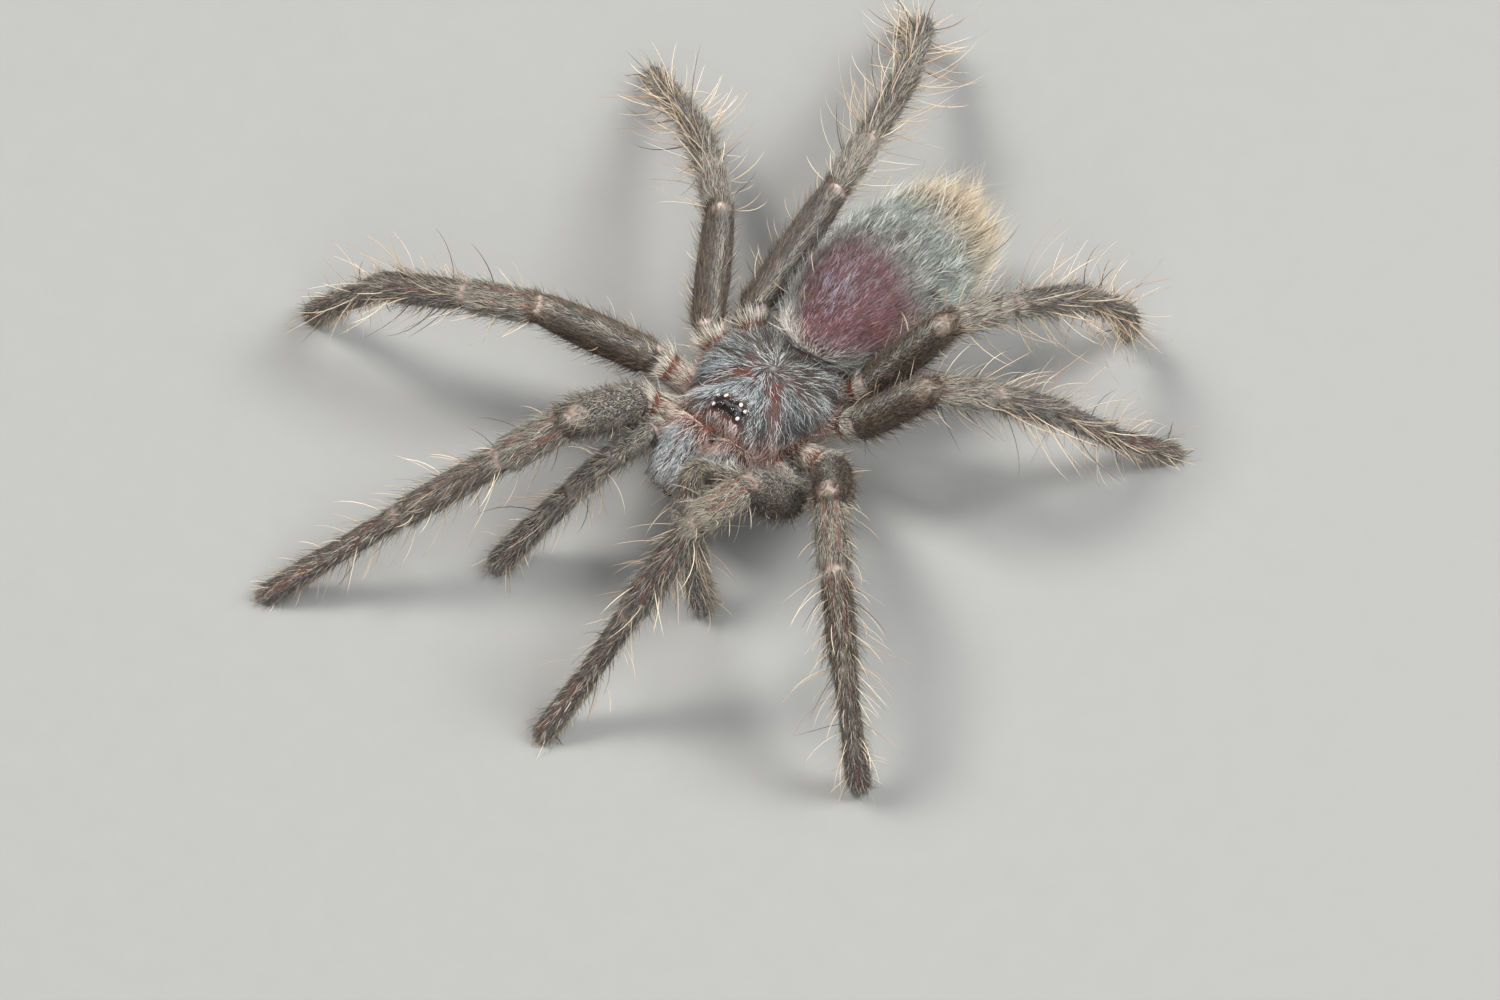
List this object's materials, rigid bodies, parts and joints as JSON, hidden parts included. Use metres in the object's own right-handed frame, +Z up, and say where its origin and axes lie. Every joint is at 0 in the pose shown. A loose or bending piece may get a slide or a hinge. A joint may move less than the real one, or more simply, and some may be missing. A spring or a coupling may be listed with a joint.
{
  "type": "juvenile tarantula model",
  "caption": "Still, life-size museum-type model of a young hairy tarantula standing on a floor with its legs spread and a front leg reaching ahead; rests on small flat soles.",
  "frame": {"origin": "on the floor, under the middle of the whole model's bounding box", "axes": "the spider faces -Y, its own left side is towards +X, +Z is up from the floor"},
  "size_m": [0.0272, 0.0324, 0.008],
  "materials": {
    "coat": "short grey-brown hair with long pale setae",
    "head_coat": "short silvery blue-grey hair",
    "abdomen_coat": "velvety wine-dark hair edged with grey and tan",
    "hip_skin": "thinly haired red-brown skin, satin",
    "spinneret_coat": "short tan hair",
    "fang": "glossy near-black",
    "eye": "wet, glossy black"
  },
  "bodies": {
    "root": {"carapace": "head_coat", "chelicera_left": "head_coat", "chelicera_right": "head_coat", "fang_left": "fang", "fang_right": "fang", "eye_front_middle_left": "eye", "eye_front_middle_right": "eye", "eye_front_side_left": "eye", "eye_front_side_right": "eye", "eye_rear_side_left": "eye", "eye_rear_side_right": "eye", "eye_rear_middle_left": "eye", "eye_rear_middle_right": "eye", "sternum_and_coxae": "hip_skin", "pedicel": "hip_skin", "abdomen": "abdomen_coat", "spinneret_left": "spinneret_coat", "spinneret_right": "spinneret_coat", "leg_1_femur_left": "coat", "leg_1_femur_right": "coat", "leg_1_patella_left": "coat", "leg_1_patella_right": "coat", "leg_1_tibia_left": "coat", "leg_1_tibia_right": "coat", "leg_1_foot_left": "coat", "leg_1_foot_right": "coat", "leg_2_femur_left": "coat", "leg_2_femur_right": "coat", "leg_2_patella_left": "coat", "leg_2_patella_right": "coat", "leg_2_tibia_left": "coat", "leg_2_tibia_right": "coat", "leg_2_foot_left": "coat", "leg_2_foot_right": "coat", "leg_3_femur_left": "coat", "leg_3_femur_right": "coat", "leg_3_patella_left": "coat", "leg_3_patella_right": "coat", "leg_3_tibia_left": "coat", "leg_3_tibia_right": "coat", "leg_3_foot_left": "coat", "leg_3_foot_right": "coat", "leg_4_femur_left": "coat", "leg_4_femur_right": "coat", "leg_4_patella_left": "coat", "leg_4_patella_right": "coat", "leg_4_tibia_left": "coat", "leg_4_tibia_right": "coat", "leg_4_foot_left": "coat", "leg_4_foot_right": "coat", "palp_femur_left": "coat", "palp_femur_right": "coat", "palp_patella_left": "coat", "palp_patella_right": "coat", "palp_tibia_left": "coat", "palp_tibia_right": "coat", "palp_tarsus_left": "coat", "palp_tarsus_right": "coat"}
  },
  "joints": []
}
